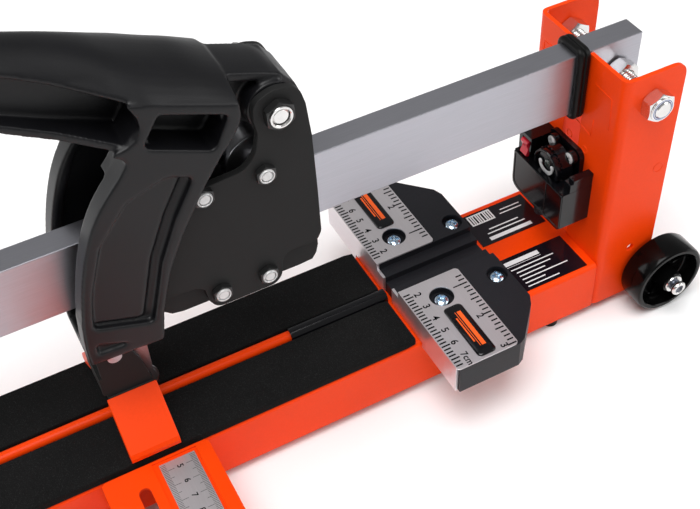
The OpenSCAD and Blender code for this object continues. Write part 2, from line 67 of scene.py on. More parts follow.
def material(name, color, rough, metallic=0.0, tint=0.12, patch=25.0, grain=900.0, bump=0.12,
             depth=0.1, stretch=(1, 1, 1), spread=0.06, coat=0.0, specular=0.5, fleck=0.0):
    """Principled material whose colour, roughness and bump vary in object space.

    patch and grain are noise scales per metre, depth is the bump's height in millimetres, stretch
    squeezes the grain across a brushing direction, and fleck mixes in pale specks.
    """
    mat = bpy.data.materials.new(name)
    mat.use_nodes = True
    nodes, links = mat.node_tree.nodes, mat.node_tree.links
    shader = nodes["Principled BSDF"]
    shader.inputs["Metallic"].default_value = metallic
    shader.inputs["Coat Weight"].default_value = coat
    shader.inputs["Coat Roughness"].default_value = 0.1
    shader.inputs["Specular IOR Level"].default_value = specular
    coords = nodes.new("ShaderNodeTexCoord")
    squeeze = nodes.new("ShaderNodeMapping")
    squeeze.inputs["Scale"].default_value = stretch
    links.new(coords.outputs["Object"], squeeze.inputs["Vector"])

    def noise(scale, detail, source):
        tex = nodes.new("ShaderNodeTexNoise")
        tex.inputs["Scale"].default_value = scale
        tex.inputs["Detail"].default_value = detail
        links.new(source, tex.inputs["Vector"])
        return tex.outputs["Fac"]

    broad = noise(patch, 4, coords.outputs["Object"])
    fine = noise(grain, 5, squeeze.outputs["Vector"])
    ramp = nodes.new("ShaderNodeValToRGB")
    ramp.color_ramp.elements[0].position = 0.3
    ramp.color_ramp.elements[1].position = 0.7
    ramp.color_ramp.elements[0].color = [c * (1 - tint) for c in color] + [1]
    ramp.color_ramp.elements[1].color = [min(1, c * (1 + tint)) for c in color] + [1]
    blend = nodes.new("ShaderNodeMath")
    blend.operation = "MULTIPLY_ADD"
    blend.inputs[1].default_value = 0.5
    half = nodes.new("ShaderNodeMath")
    half.operation = "MULTIPLY"
    half.inputs[1].default_value = 0.5
    links.new(broad, half.inputs[0])
    links.new(fine, blend.inputs[0])
    links.new(half.outputs[0], blend.inputs[2])
    links.new(blend.outputs[0], ramp.inputs["Fac"])
    surface = ramp.outputs["Color"]
    if fleck:
        specks = nodes.new("ShaderNodeValToRGB")
        specks.color_ramp.elements[0].position = 0.60
        specks.color_ramp.elements[1].position = 0.72
        specks.color_ramp.elements[1].color = (fleck, fleck, fleck, 1)
        links.new(noise(grain * 1.7, 2, coords.outputs["Object"]), specks.inputs["Fac"])
        add = nodes.new("ShaderNodeMix")
        add.data_type = "RGBA"
        add.blend_type = "ADD"
        add.inputs["Factor"].default_value = 1.0
        links.new(surface, add.inputs["A"])
        links.new(specks.outputs["Color"], add.inputs["B"])
        surface = add.outputs["Result"]
    links.new(surface, shader.inputs["Base Color"])
    level = nodes.new("ShaderNodeMapRange")
    level.inputs["To Min"].default_value = rough - spread
    level.inputs["To Max"].default_value = rough + spread
    links.new(blend.outputs[0], level.inputs["Value"])
    links.new(level.outputs["Result"], shader.inputs["Roughness"])
    relief = nodes.new("ShaderNodeBump")
    relief.inputs["Strength"].default_value = bump
    relief.inputs["Distance"].default_value = depth * MM
    links.new(fine, relief.inputs["Height"])
    links.new(relief.outputs["Normal"], shader.inputs["Normal"])
    return mat


ALONG_X = (0.02, 1, 1)
ORANGE = material("orange_powder", (0.86, 0.052, 0.001), 0.36, tint=0.04, grain=700, bump=0.25,
                  specular=0.14)
FOAM = material("foam", (0.006, 0.006, 0.006), 0.95, tint=0.4, grain=1600, bump=0.9, depth=0.3,
                specular=0.12, fleck=0.03)
RUBBER = material("rubber", (0.003, 0.003, 0.003), 0.42, tint=0.3, grain=500, bump=0.2,
                  specular=0.14)
TYRE = material("wheel_plastic", (0.002, 0.002, 0.002), 0.16, tint=0.3, grain=300, bump=0.05,
                specular=0.14)
PLASTIC = material("moulded_plastic", (0.008, 0.008, 0.011), 0.48, tint=0.25, grain=1500, bump=0.5,
                   specular=0.28, fleck=0.015)
GLOSS = material("gloss_plastic", (0.003, 0.003, 0.004), 0.14, tint=0.3, grain=300, bump=0.05,
                 specular=0.35)
FILM = material("label_film", (0.008, 0.005, 0.008), 0.12, tint=0.25, grain=200, bump=0.03,
                specular=0.3)
PRINT = material("label_print", (0.75, 0.73, 0.74), 0.4, tint=0.06)
BADGE_PRINT = material("badge_print", (0.85, 0.11, 0.01), 0.3, tint=0.05)
INK = material("scale_ink", (0.002, 0.002, 0.003), 0.7, tint=0.2, specular=0.1)
BAR = material("brushed_bar", (0.42, 0.42, 0.46), 0.34, metallic=1, tint=0.10, patch=12,
               grain=2600, bump=0.35, depth=0.05, stretch=ALONG_X, spread=0.08)
PLATE = material("scale_plate", (0.74, 0.7, 0.72), 0.38, metallic=0.9, tint=0.06, grain=2600,
                 bump=0.2, depth=0.04, stretch=(1, 0.03, 1))
ZINC = material("zinc_plate", (0.72, 0.71, 0.70), 0.2, metallic=1, tint=0.08, grain=400, bump=0.1)
SILVER = material("silver_paint", (0.6, 0.6, 0.6), 0.3, metallic=0.3, tint=0.1, grain=400)
STEEL = material("machined_steel", (0.5, 0.5, 0.52), 0.3, metallic=1, tint=0.08, grain=900)
COATED = material("black_coat", (0.014, 0.014, 0.014), 0.6, tint=0.12, patch=18, grain=1500,
                  bump=0.3, depth=0.06, specular=0.16)
BLACK_NUT = material("black_nut", (0.012, 0.012, 0.012), 0.35, tint=0.2, grain=600)
CAST = material("cast_black", (0.004, 0.004, 0.005), 0.4, tint=0.3, patch=40, grain=1300,
                bump=0.4, depth=0.09, specular=0.28)
RED = material("switch_red", (0.55, 0.012, 0.03), 0.25, tint=0.08, grain=300)
NYLON = material("nylon_blue", (0.03, 0.09, 0.35), 0.4, tint=0.1)

# ---- mesh helpers ----

PRINT_HALF = 0.02  # half the thickness of printed marks


def basis(direction):
    """Two unit vectors across a direction, and the direction itself."""
    d = Vector(direction).normalized()
    u = d.orthogonal().normalized() if abs(d.z) > 0.9 else d.cross(Vector((0, 0, 1))).normalized()
    return u, d.cross(u), d


def skin(bm, rings, loop=False, open_ends=False):
    """Faces between rings of points, closed at the ends or back to the first ring."""
    rows = [[bm.verts.new(p) for p in ring] for ring in rings]
    pairs = list(zip(rows, rows[1:]))
    if loop:
        pairs.append((rows[-1], rows[0]))
    count = len(rows[0])
    for a, b in pairs:
        for i in range(count):
            j = (i + 1) % count
            bm.faces.new((a[i], a[j], b[j], b[i]))
    if not loop and not open_ends:
        bm.faces.new(rows[0][::-1])
        bm.faces.new(rows[-1])


def prism(bm, outline, axis, low, high):
    """Solid between two copies of an outline: (x, z) for axis y, (y, z) for x, (x, y) for z."""
    place = {"x": lambda a, b, t: (t, a, b), "y": lambda a, b, t: (a, t, b),
             "z": lambda a, b, t: (a, b, t)}[axis]
    skin(bm, [[place(a, b, t) for a, b in outline] for t in (low, high)])


def box(bm, low, high):
    """Solid box between two corners."""
    (x0, y0, z0), (x1, y1, z1) = low, high
    prism(bm, [(x0, y0), (x1, y0), (x1, y1), (x0, y1)], "z", z0, z1)


def rounded(points, radius, steps=6):
    """An outline with each corner turned into an arc; radius may be one number or one each."""
    count = len(points)
    radii = radius if isinstance(radius, (list, tuple)) else [radius] * count
    result = []
    for i, corner in enumerate(points):
        p = Vector(corner)
        a = Vector(points[i - 1]) - p
        b = Vector(points[(i + 1) % count]) - p
        if radii[i] <= 0:
            result.append(tuple(p))
            continue
        half = a.angle(b) / 2
        reach = min(radii[i] / math.tan(half), 0.49 * a.length, 0.49 * b.length)
        if half > math.radians(88):
            result.append(tuple(p))
            continue
        start, end = p + a.normalized() * reach, p + b.normalized() * reach
        for k in range(steps + 1):
            t = k / steps
            q = start * (1 - t) ** 2 + p * 2 * t * (1 - t) + end * t ** 2
            result.append(tuple(q))
    return result


def turn(bm, profile, origin, direction, steps=48, loop=False):
    """Surface of revolution of (radius, distance) points about an axis."""
    u, v, d = basis(direction)
    o = Vector(origin)
    angles = [2 * math.pi * k / steps for k in range(steps)]
    skin(bm, [[o + d * t + (u * math.cos(a) + v * math.sin(a)) * max(r, 0.01) for a in angles]
              for r, t in profile], loop=loop)


def hex_nut(bm, origin, direction, flats, height, bore, collar=0.0, steps=72):
    """Chamfered hexagon nut along a direction, with a round collar of that height on its end."""
    u, v, d = basis(direction)
    o = Vector(origin)
    inner = flats / 2 * 0.99
    angles = [2 * math.pi * k / steps for k in range(steps)]
    corner = [flats / 2 / math.cos((a + math.pi / 6) % (math.pi / 3) - math.pi / 6) for a in angles]

    def ring(radii, levels):
        return [o + d * t + (u * math.cos(a) + v * math.sin(a)) * r
                for a, r, t in zip(angles, radii, levels)]

    flat = [inner] * steps
    drop = [(c - inner) * math.tan(math.radians(28)) for c in corner]
    rings = [ring(flat, [0] * steps), ring(corner, drop), ring(corner, [height - q for q in drop]),
             ring(flat, [height] * steps)]
    if collar:
        edge = inner - 0.6
        rings += [ring([edge] * steps, [height] * steps),
                  ring([edge] * steps, [height + collar * 0.55] * steps),
                  ring([edge - 0.7] * steps, [height + collar * 0.9] * steps),
                  ring([edge - 1.8] * steps, [height + collar] * steps)]
    top = height + collar
    rings += [ring([bore + 0.4] * steps, [top - 0.1] * steps),
              ring([bore] * steps, [top - 0.6] * steps), ring([bore] * steps, [0] * steps)]
    skin(bm, rings, loop=True)


def thread(bm, origin, direction, radius, length, pitch, tip=0.6):
    """Threaded rod drawn as ridges, with a chamfered tip."""
    profile = [(0, 0), (radius - 0.07 * pitch, 0)]
    t = 0.3
    while t < length - tip - pitch:
        profile += [(radius, t), (radius, t + 0.2 * pitch), (radius - 0.5 * pitch, t + 0.55 * pitch),
                    (radius - 0.5 * pitch, t + 0.65 * pitch)]
        t += pitch
    profile += [(radius, t), (radius, length - tip), (radius - tip, length), (0, length)]
    turn(bm, profile, origin, direction, 40)


def sweep(bm, path, section, normal):
    """Closed ring: a section of (across, out) points carried round a closed path in one plane."""
    n = Vector(normal)
    count = len(path)
    rings = []
    for i in range(count):
        p = Vector(path[i])
        ahead = (Vector(path[(i + 1) % count]) - Vector(path[i - 1])).normalized()
        out = ahead.cross(n)
        rings.append([p + n * a + out * b for a, b in section])
    skin(bm, rings, loop=True)


def shade(mesh, angle):
    """Smooth faces with sharp edges above an angle in degrees."""
    bm = bmesh.new()
    bm.from_mesh(mesh)
    for face in bm.faces:
        face.smooth = True
    limit = math.radians(angle)
    for edge in bm.edges:
        edge.smooth = len(edge.link_faces) == 2 and edge.calc_face_angle(0) < limit
    bm.to_mesh(mesh)
    bm.free()


def soften(obj, width, segments=2, angle=30):
    """Rounds an object's edges by a width in millimetres, keeping its flats flat."""
    bevel = obj.modifiers.new("edges", "BEVEL")
    bevel.width = width * MM
    bevel.segments = segments
    bevel.limit_method = "ANGLE"
    bevel.angle_limit = math.radians(angle)
    bevel.miter_outer = "MITER_ARC"
    obj.modifiers.new("flats", "WEIGHTED_NORMAL").keep_sharp = True


def piece(name, bm, body, mat, stands_for=None, edge=0.0, angle=35, segments=2):
    """Object from a bmesh in machine millimetres, riding on a body."""
    bmesh.ops.recalc_face_normals(bm, faces=bm.faces)
    bmesh.ops.transform(bm, matrix=TO_FRAME, verts=bm.verts)
    mesh = bpy.data.meshes.new(name)
    bm.to_mesh(mesh)
    bm.free()
    mesh.materials.append(mat)
    obj = bpy.data.objects.new(name, mesh)
    scene.collection.objects.link(obj)
    if edge:
        for face in mesh.polygons:
            face.use_smooth = True
        soften(obj, edge, segments)
    else:
        shade(mesh, angle)
    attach(obj, body)
    if stands_for:
        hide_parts(stands_for)
    return obj


def dress(node, mat, edge=0.0, segments=2):
    """Gives a CAD node its material and, where asked, rounded edges."""
    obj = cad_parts[node]
    obj.data.materials.clear()
    obj.data.materials.append(mat)
    if edge:
        weld = obj.modifiers.new("joined", "WELD")
        weld.merge_threshold = 0.01 * MM
        soften(obj, edge, segments)


def figure(text, size, centre, turned):
    """Temporary mesh, in millimetres, of a printed number lying on a plate."""
    curve = bpy.data.curves.new("figure", "FONT")
    curve.body = text
    curve.size = size
    curve.align_x = "CENTER"
    curve.align_y = "CENTER"
    curve.extrude = PRINT_HALF
    curve.resolution_u = 4
    curve.offset = size * 0.018
    holder = bpy.data.objects.new("figure", curve)
    mesh = bpy.data.meshes.new_from_object(holder)
    mesh.transform(Matrix.Translation(centre) @ Matrix.Rotation(math.radians(turned), 4, "Z"))
    bpy.data.objects.remove(holder)
    bpy.data.curves.remove(curve)
    return mesh


def merged(bm, mesh):
    """Adds a temporary mesh to a bmesh and drops it."""
    bm.from_mesh(mesh)
    bpy.data.meshes.remove(mesh)


# ---- base ----

# (material, edge radius, bevel segments, nodes) of the CAD nodes that stay visible
FINISHES = (
    (ORANGE, 0.5, 2, ("base_channel", "arm_near", "arm_far")),
    (ORANGE, 0.4, 2, ("foot_covers",)),
    (ORANGE, 0.2, 2, ("breaking_ridge", "arm_brackets")),
    (GLOSS, 0.5, 2, ("laser_housing",)),
    (GLOSS, 0.25, 2, ("ridge_sleeve",)),
    (BAR, 0.4, 2, ("guide_bar",)),
    (FILM, 0.0, 2, ("base_labels",)),
    (RUBBER, 0.6, 2, ("base_feet",)),
    (ZINC, 0.3, 2, ("arm_pins",)),
    (PLASTIC, 0.7, 3, ("fence_body",)),
    (PLASTIC, 0.5, 2, ("stop_knob_near", "stop_knob_far")),
    (PLATE, 0.15, 2, ("scale_plate_near", "scale_plate_far", "arm_ruler_near", "arm_ruler_far")),
    (COATED, 0.8, 2, ("lower_block",)),
    (COATED, 0.3, 2, ("foot_bracket",)),
    (STEEL, 0.2, 2, ("roller_upper_front", "roller_upper_rear", "roller_lower_front",
                     "roller_lower_rear", "axle_spacers", "wheel_holder", "wheel_axle",
                     "scoring_wheel", "stop_near", "stop_far", "foot_pin")),
)
for mat, edge, segments, nodes in FINISHES:
    for node in nodes:
        dress(node, mat, edge, segments)

PAD_EDGE = 1.1
PAD_COLUMNS = 160
END_PINCH = 0.5


def pad(side):
    """Foam pad: a soft-edged slab, pinched in a little at its two ends."""
    low, high = span("pad_" + side)
    middle = (low.y + high.y) / 2
    section = rounded([(low.y, low.z), (high.y, low.z), (high.y, high.z), (low.y, high.z)],
                      [0.1, 0.1, PAD_EDGE, PAD_EDGE], 4)
    rings = []
    for k in range(PAD_COLUMNS + 1):
        x = low.x + (high.x - low.x) * k / PAD_COLUMNS
        pinch = END_PINCH if k in (0, PAD_COLUMNS) else 0.0
        rings.append([(x, middle + (y - middle) * (1 - pinch / 15),
                       low.z + (z - low.z) * (1 - pinch / 6)) for y, z in section])
    bm = bmesh.new()
    skin(bm, rings)
    obj = piece("foam_" + side, bm, "base", FOAM, "pad_" + side, angle=60)


for side in ("near", "far"):
    pad(side)

# ---- lever ----


def between(points, t):
    """Smooth curve through a list of equal-length tuples; t runs from 0 to the last index."""
    i = min(int(t), len(points) - 2)
    f = t - i
    p0, p1, p2 = points[max(i - 1, 0)], points[i], points[i + 1]
    p3 = points[min(i + 2, len(points) - 1)]
    return [0.5 * (2 * b + (c - a) * f + (2 * a - 5 * b + 4 * c - d) * f * f
                   + (3 * b - a - 3 * c + d) * f ** 3) for a, b, c, d in zip(p0, p1, p2, p3)]


def crowned(bm, stations, cut, per=10, across=16, power=2.3):
    """Loft over stations of (x, half width, crease height, crown height), cut below the crease."""
    rings = []
    for k in range(per * (len(stations) - 1) + 1):
        x, w, crease, crown = between(stations, k / per)
        top = [w * (1 - 2 * i / across) for i in range(across + 1)]
        rings.append([(x, y, crease + (crown - crease) * (1 - abs(y / w) ** power)) for y in top]
                     + [(x, -w, crease - cut), (x, w, crease - cut)])
    skin(bm, rings)


def evaluated(obj):
    """Applies an object's modifiers."""
    graph = bpy.context.evaluated_depsgraph_get()
    mesh = bpy.data.meshes.new_from_object(obj.evaluated_get(graph))
    obj.modifiers.clear()
    obj.data = mesh


def cast(obj, voxel, passes):
    """Melts overlapping solids into one casting with soft edges."""
    melt = obj.modifiers.new("melt", "REMESH")
    melt.mode = "VOXEL"
    melt.voxel_size = voxel * MM
    melt.adaptivity = 0.0
    soft = obj.modifiers.new("soft", "SMOOTH")
    soft.factor = 0.5
    soft.iterations = passes
    evaluated(obj)
    for face in obj.data.polygons:
        face.use_smooth = True


LEVER_TOP = [(-83.5, 28.5, 197.0, 205.8), (-97, 28.5, 201.8, 213.8), (-110, 28.5, 207, 219.3),
             (-121.5, 28.3, 212, 224.6), (-129, 25.8, 215.6, 228.6), (-136, 22.4, 219.2, 232.6),
             (-145, 19.2, 223.8, 237.1), (-155, 16.8, 229.5, 241.3), (-165, 15.3, 234.8, 244.9),
             (-175, 14.4, 240, 248.3), (-186, 14.4, 245.5, 253), (-198, 15, 250.8, 258.3)]
PIVOT, BOSS = (-64, 180), 13
NECK_HALF, NECK_DROP = 13.4, 2.9
NECK_START, NECK_FLOOR = -93, 181.5  # the neck is ahead of this x and above this height
CAD_NECK_HALF = 16.3
FRONT_WEB_TOP = 198
ARM_START = -123
WALL = 1.5  # left of the CAD's wall under the arm's crease
RIM_IN, RIM_OUT = 17.2, 28.4
NECK_TOP = [(x, NECK_HALF, crease, crown)
            for x, crease, crown in ((-86, 204.4, 205.2), (-81, 202.7, 204), (-68, 197.9, 199.5),
                                     (-60, 194.3, 196), (-54, 188.7, 190.4), (-49.5, 181.6, 183.5))]

REAR_EDGE = [(-137.2, 186.5), (-141.6, 180.4), (-148.3, 173), (-154.2, 165.3), (-159.6, 156),
             (-163.8, 146), (-167.8, 134), (-171.2, 120.9), (-174.2, 106), (-176, 91), (-176.2, 79)]

# a copy of the CAD lever, with a narrower neck and a thinner wall under the arm's crease
bm = bmesh.new()
bm.from_mesh(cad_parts["handle_body"].data)
bmesh.ops.remove_doubles(bm, verts=bm.verts, dist=0.01 * MM)
bmesh.ops.transform(bm, matrix=TO_FRAME.inverted(), verts=bm.verts)
for v in bm.verts:
    x, y, z = v.co
    if x > NECK_START and abs(y) < CAD_NECK_HALF and z > NECK_FLOOR:
        if math.hypot(x - PIVOT[0], z - PIVOT[1]) > BOSS + 0.1:
            y = max(-NECK_HALF, min(NECK_HALF, y))
            z -= NECK_DROP
    elif NECK_START < x < -85 and CAD_NECK_HALF < abs(y) < 25 and z > FRONT_WEB_TOP:
        z = FRONT_WEB_TOP
    elif x < ARM_START:
        for b, a in zip(LEVER_TOP, LEVER_TOP[1:]):
            if a[0] <= x <= b[0]:
                crease = a[2] + (b[2] - a[2]) * (x - a[0]) / (b[0] - a[0])
                if crease - 7 < z < crease - WALL and abs(y) > 11.5:
                    z = crease - WALL
    v.co = (x, y, z)
crowned(bm, LEVER_TOP, cut=2.2)
arc = [between(REAR_EDGE, k / 8) for k in range(8 * (len(REAR_EDGE) - 1) + 1)]
for sign in (-1, 1):
    skin(bm, [[(x, sign * RIM_IN, z), (x, sign * RIM_OUT, z), (x + 5, sign * RIM_OUT, z - 1.2),
               (x + 5, sign * RIM_IN, z - 1.2)] for x, z in arc])
crowned(bm, NECK_TOP, cut=3.5)
lever = piece("lever_casting", bm, "handle", CAST, "handle_body")
cast(lever, 0.8, 8)

# ---- carriage plates ----

PLATE_OUTLINE = [(-50, 91.1), (-47.3, 97), (-47.4, 125), (-48, 160), (-49.7, 179), (-52.5, 189.5),
                 (-64, 193), (-75.2, 188.5), (-75.9, 179), (-74.6, 171), (-77, 160), (-83.5, 153.2),
                 (-93, 152.8), (-120, 151), (-132, 148), (-138, 138), (-138, 97), (-134, 92.6),
                 (-116, 91), (-112, 87.5), (-111.6, 80), (-107.5, 72.4), (-75.5, 72.4), (-71, 76.5),
                 (-69.9, 87.5), (-66, 91.8)]
PLATE_IN, PLATE_OUT = 16.5, 20.5
PLATE_RADII = [5, 8, 0, 0, 10, 9, 14, 9, 8, 10, 14, 12, 0, 20, 10, 12, 6, 4, 6, 5, 8, 7, 7, 8, 6, 5]

for side, sign in (("near", -1), ("far", 1)):
    bm = bmesh.new()
    low, high = sorted((sign * PLATE_IN, sign * PLATE_OUT))
    prism(bm, rounded(PLATE_OUTLINE, PLATE_RADII, 6), "y", low, high)
    plate = piece("side_plate_" + side, bm, "carriage", COATED, "carriage_plate_" + side, edge=0.45,
                  segments=3)

# ---- towers ----


def cut(obj, tool, operation="DIFFERENCE"):
    """Boolean with another bmesh in machine millimetres, applied at once."""
    bmesh.ops.recalc_face_normals(tool, faces=tool.faces)
    bmesh.ops.transform(tool, matrix=TO_FRAME, verts=tool.verts)
    mesh = bpy.data.meshes.new("tool")
    tool.to_mesh(mesh)
    tool.free()
    knife = bpy.data.objects.new("tool", mesh)
    scene.collection.objects.link(knife)
    boolean = obj.modifiers.new("cut", "BOOLEAN")
    boolean.operation = operation
    boolean.solver = "EXACT"
    boolean.object = knife
    evaluated(obj)
    bpy.data.objects.remove(knife)
    bpy.data.meshes.remove(mesh)


SHEET = 2.5
BEND = 5.5
DEPTH = 40
EAR = 13  # radius of the lobe that carries the transport wheel
bar_low, bar_high = span("guide_bar")
stud_low, stud_high = span("clamp_studs")
wheel_low, wheel_high = span("wheel_near")
CLAMP_Z = (stud_low.z + stud_high.z) / 2
WHEEL_X, WHEEL_Z = (wheel_low.x + wheel_high.x) / 2, (wheel_low.z + wheel_high.z) / 2


def tower(name, node, turned):
    """Bent sheet support: U section with rounded bends, cut to its side outline.

    turned is 1 for the fence end and -1 for the other. The slot for the bar starts at the base's
    top here, and just under the bar in the CAD.
    """
    low, high = span(node)
    face = low.x if turned > 0 else high.x

    def at(x):
        return face + turned * x

    corners = [(at(DEPTH), low.y), (at(0), low.y), (at(0), high.y), (at(DEPTH), high.y),
               (at(DEPTH), high.y - SHEET), (at(SHEET), high.y - SHEET), (at(SHEET), low.y + SHEET),
               (at(DEPTH), low.y + SHEET)]
    bends = [0, BEND, BEND, 0, 0, BEND - SHEET, BEND - SHEET, 0]
    bm = bmesh.new()
    prism(bm, rounded(corners, bends, 8), "z", low.z, high.z)
    obj = piece(name, bm, "base", ORANGE, node)

    notch = bmesh.new()
    corner = rounded([(at(DEPTH + 9), high.z - 30), (at(DEPTH), high.z - 30), (at(DEPTH), high.z),
                      (at(DEPTH - 30), high.z), (at(DEPTH - 30), high.z + 9),
                      (at(DEPTH + 9), high.z + 9)], [0, 0, 9, 0, 0, 0], 8)
    prism(notch, corner, "y", low.y - 3, high.y + 3)
    cut(obj, notch)

    slot = bmesh.new()
    start, end = sorted((at(-3), at(SHEET + 4)))
    box(slot, (start, bar_low.y - 0.4, 0), (end, bar_high.y + 0.4, high.z + 5))
    cut(obj, slot)

    if turned > 0:
        for inner, outer in ((low.y, low.y + SHEET), (high.y - SHEET, high.y)):
            ear = bmesh.new()
            turn(ear, [(0, 0), (EAR, 0), (EAR, outer - inner), (0, outer - inner)],
                 (WHEEL_X, inner, WHEEL_Z), (0, 1, 0))
            cut(obj, ear, "UNION")
        small = bmesh.new()
        turn(small, [(0, 0), (2.6, 0), (2.6, 90), (0, 90)], (face + 23.5, low.y - 5, 3),
             (0, 1, 0), 32)
        cut(obj, small)

    foot = bmesh.new()
    start, end = sorted((at(1), at(DEPTH - 2)))
    box(foot, (start, low.y + 1, low.z), (end, high.y - 1, low.z + SHEET))
    cut(obj, foot, "UNION")
    obj.data.materials.clear()
    obj.data.materials.append(ORANGE)
    for polygon in obj.data.polygons:
        polygon.use_smooth = True
    soften(obj, 0.45, 2, 40)


tower("support_front", "tower_front", 1)
tower("support_rear", "tower_rear", -1)

low, high = span("tower_front")
for index, outline in enumerate(([(-15, 119), (-30, 118), (-31, 98)], [(3, 88), (-17, 84), (-18, 96)],
                                 [(19, 119), (32, 118), (33, 98)])):
    bm = bmesh.new()
    for (y0, z0), (y1, z1) in zip(outline, outline[1:]):
        a, b = Vector((low.x - 0.02, y0, z0)), Vector((low.x - 0.02, y1, z1))
        length = (b - a).length
        turn(bm, [(0, 0), (0.35, 0.2), (0.35, length), (0, length + 0.2)], a, b - a, 8)
    piece("press_line_%d" % index, bm, "base", ORANGE, angle=80)
bm = bmesh.new()
for y, z in ((1, 73), (-14, 71.5)):
    turn(bm, [(1.9, 0.1), (2.3, -0.25), (2.7, 0.1)], (low.x, y, z), (1, 0, 0), 32, loop=True)
turn(bm, [(2.9, 0.1), (3.3, -0.25), (3.7, 0.1)], (154.6, low.y, 63), (0, 1, 0), 32, loop=True)
piece("weld_marks", bm, "base", ORANGE, angle=80)

# ---- clamps ----

ROD = 5
FLATS, NUT = 15.9, 8.4
CLAMPS = (stud_high.x - ROD, stud_low.x + ROD)
studs, plain, lock, rings = (bmesh.new() for _ in range(4))
for x in CLAMPS:
    for sign in (-1, 1):
        out = (0, sign, 0)
        thread(studs, (x, sign * 7.24, CLAMP_Z), out, ROD, 41.5, 1.5, 0.7)
        hex_nut(lock, (x, sign * 39.65, CLAMP_Z), out, FLATS, 7.2, 6.65, 1.1)
        turn(rings, [(5.1, 47.15), (6.6, 47.15), (6.6, 47.7), (6.2, 47.95), (5.4, 47.9), (5.1, 47.6)],
             (x, 0, CLAMP_Z), out, 48, loop=True)
    hex_nut(plain, (x, -8.2, CLAMP_Z), (0, -1, 0), FLATS, NUT, ROD + 0.1)
    hex_nut(plain, (x, 28.4, CLAMP_Z), (0, 1, 0), FLATS, NUT, ROD + 0.1)
for name, bm, mat, node, slot_name in (
        ("clamp_rods", studs, ZINC, "clamp_studs", "zinc"),
        ("clamp_hex_nuts", plain, ZINC, "clamp_nuts", "zinc"),
        ("clamp_lock_nuts", lock, ZINC, "clamp_locknuts", "zinc"),
        ("clamp_nylon", rings, NYLON, "locknut_rings", "nylon_blue")):
    piece(name, bm, "base", mat, node)

bm = bmesh.new()
path = rounded([(-7.25, bar_low.z - 0.05), (7.25, bar_low.z - 0.05), (7.25, bar_high.z + 0.05),
                (-7.25, bar_high.z + 0.05)], 1.6, 5)
lip = [(-3.4, 0), (-3.9, 0.9), (-4, 2.1), (-3.4, 3.2), (-2.2, 3.8), (-0.9, 3.75), (-0.35, 3.1),
       (0.1, 3.1), (0.6, 3.75), (2, 3.7), (3.3, 3.1), (4, 2), (3.9, 0.9), (3.4, 0)]
for x in (span("tower_front")[0].x - 4.6, span("tower_rear")[1].x + 4.6):
    sweep(bm, [(x, y, z) for y, z in path], lip, (1, 0, 0))
piece("bumper_rings", bm, "base", RUBBER, "rail_bumpers", angle=50)

# ---- fence ----


def phillips(bm, origin, direction, radius, height, spin=20.0, steps=64, rows=16):
    """Pan head with a cross recess pressed into its crown."""
    u, v, d = basis(direction)
    o = Vector(origin)
    lead = math.radians(spin)
    rings = []
    for k in range(rows + 1):
        r = max(radius * (1 - k / rows), 0.01)
        ring = []
        for i in range(steps):
            a = 2 * math.pi * i / steps + lead
            p, q = abs(r * math.cos(a - lead)), abs(r * math.sin(a - lead))
            crown = height * (1 - 0.45 * (r / radius) ** 3)
            arm = max(p, q)
            if min(p, q) < 0.17 * radius and arm < 0.62 * radius:
                crown -= height * 0.62 * (1 - 0.5 * arm / (0.62 * radius))
            ring.append(o + (u * math.cos(a) + v * math.sin(a)) * r + d * crown)
        rings.append(ring)
    rim = [[o + (u * math.cos(2 * math.pi * i / steps + lead)
                 + v * math.sin(2 * math.pi * i / steps + lead)) * radius * s + d * t
            for i in range(steps)] for s, t in ((0.95, 0.0), (1.0, height * 0.12))]
    skin(bm, rim + rings)


SCREW = material("blue_zinc", (0.55, 0.68, 0.8), 0.18, metallic=1, tint=0.1, grain=500, bump=0.1)
screw_low, screw_high = span("fence_screws")
bm = bmesh.new()
for index, (x, y) in enumerate(((20, 27.7), (20, -27.7), (56.9, 21.8), (56.9, -28.2))):
    phillips(bm, (x, y, screw_high.z - 3.2), (0, 0, 1), 4.6, 3.2, 15 + 37 * index)
    turn(bm, [(0, 0), (2.4, 0), (2.4, 20), (0, 20)], (x, y, screw_low.z), (0, 0, 1), 24)
piece("fence_pan_heads", bm, "base", SCREW, "fence_screws", angle=40)

plate_high = span("scale_plate_near")[1]
PRINT_LIFT = 0.015
PRINT_Z = plate_high.z + PRINT_LIFT
INCH = 25.4
TICK = 0.48  # half the width of a fence mark


def printed(name, mat, body, boxes, figures, z):
    """Thin printed marks: boxes of (x0, y0, x1, y1) and figures of (text, size, x, y, turned)."""
    bm = bmesh.new()
    for x0, y0, x1, y1 in boxes:
        box(bm, (min(x0, x1), min(y0, y1), z - PRINT_HALF),
            (max(x0, x1), max(y0, y1), z + PRINT_HALF))
    for text, size, x, y, turned in figures:
        merged(bm, figure(text, size, Vector((x, y, z)), turned))
    return piece(name, bm, body, mat, angle=30)


for side, sign in (("near", -1), ("far", 1)):
    boxes, figures = [], []
    for step in range(6, 31):
        y = step * 2.5
        if y < 16 or y > 76:
            continue
        reach = 5.2 if step % 4 == 0 else 4.2
        boxes.append((0.7, sign * (y - TICK), 0.7 + reach, sign * (y + TICK)))
    for step in range(5, 25):
        y = step * INCH / 8
        if y < 18 or y > 76.6:
            continue
        reach = 5.4 if step % 4 == 0 else 3.9
        boxes.append((plate_high.x - 0.8, sign * (y - TICK), plate_high.x - 0.8 - reach,
                      sign * (y + TICK)))
    for value in range(2, 7):
        figures.append((str(value), 6.0, 8.6, sign * value * 10, -90))
    figures.append(("7cm" if sign < 0 else "7", 5.6, 8.8, sign * (73 if sign < 0 else 70), -90))
    for value in (1, 2, 3):
        y = value * INCH - (1 if value == 3 else 0)
        figures.append((str(value), 6.0, 31, sign * y, -90))
    printed("scale_marks_" + side, INK, "base", boxes, figures, PRINT_Z)

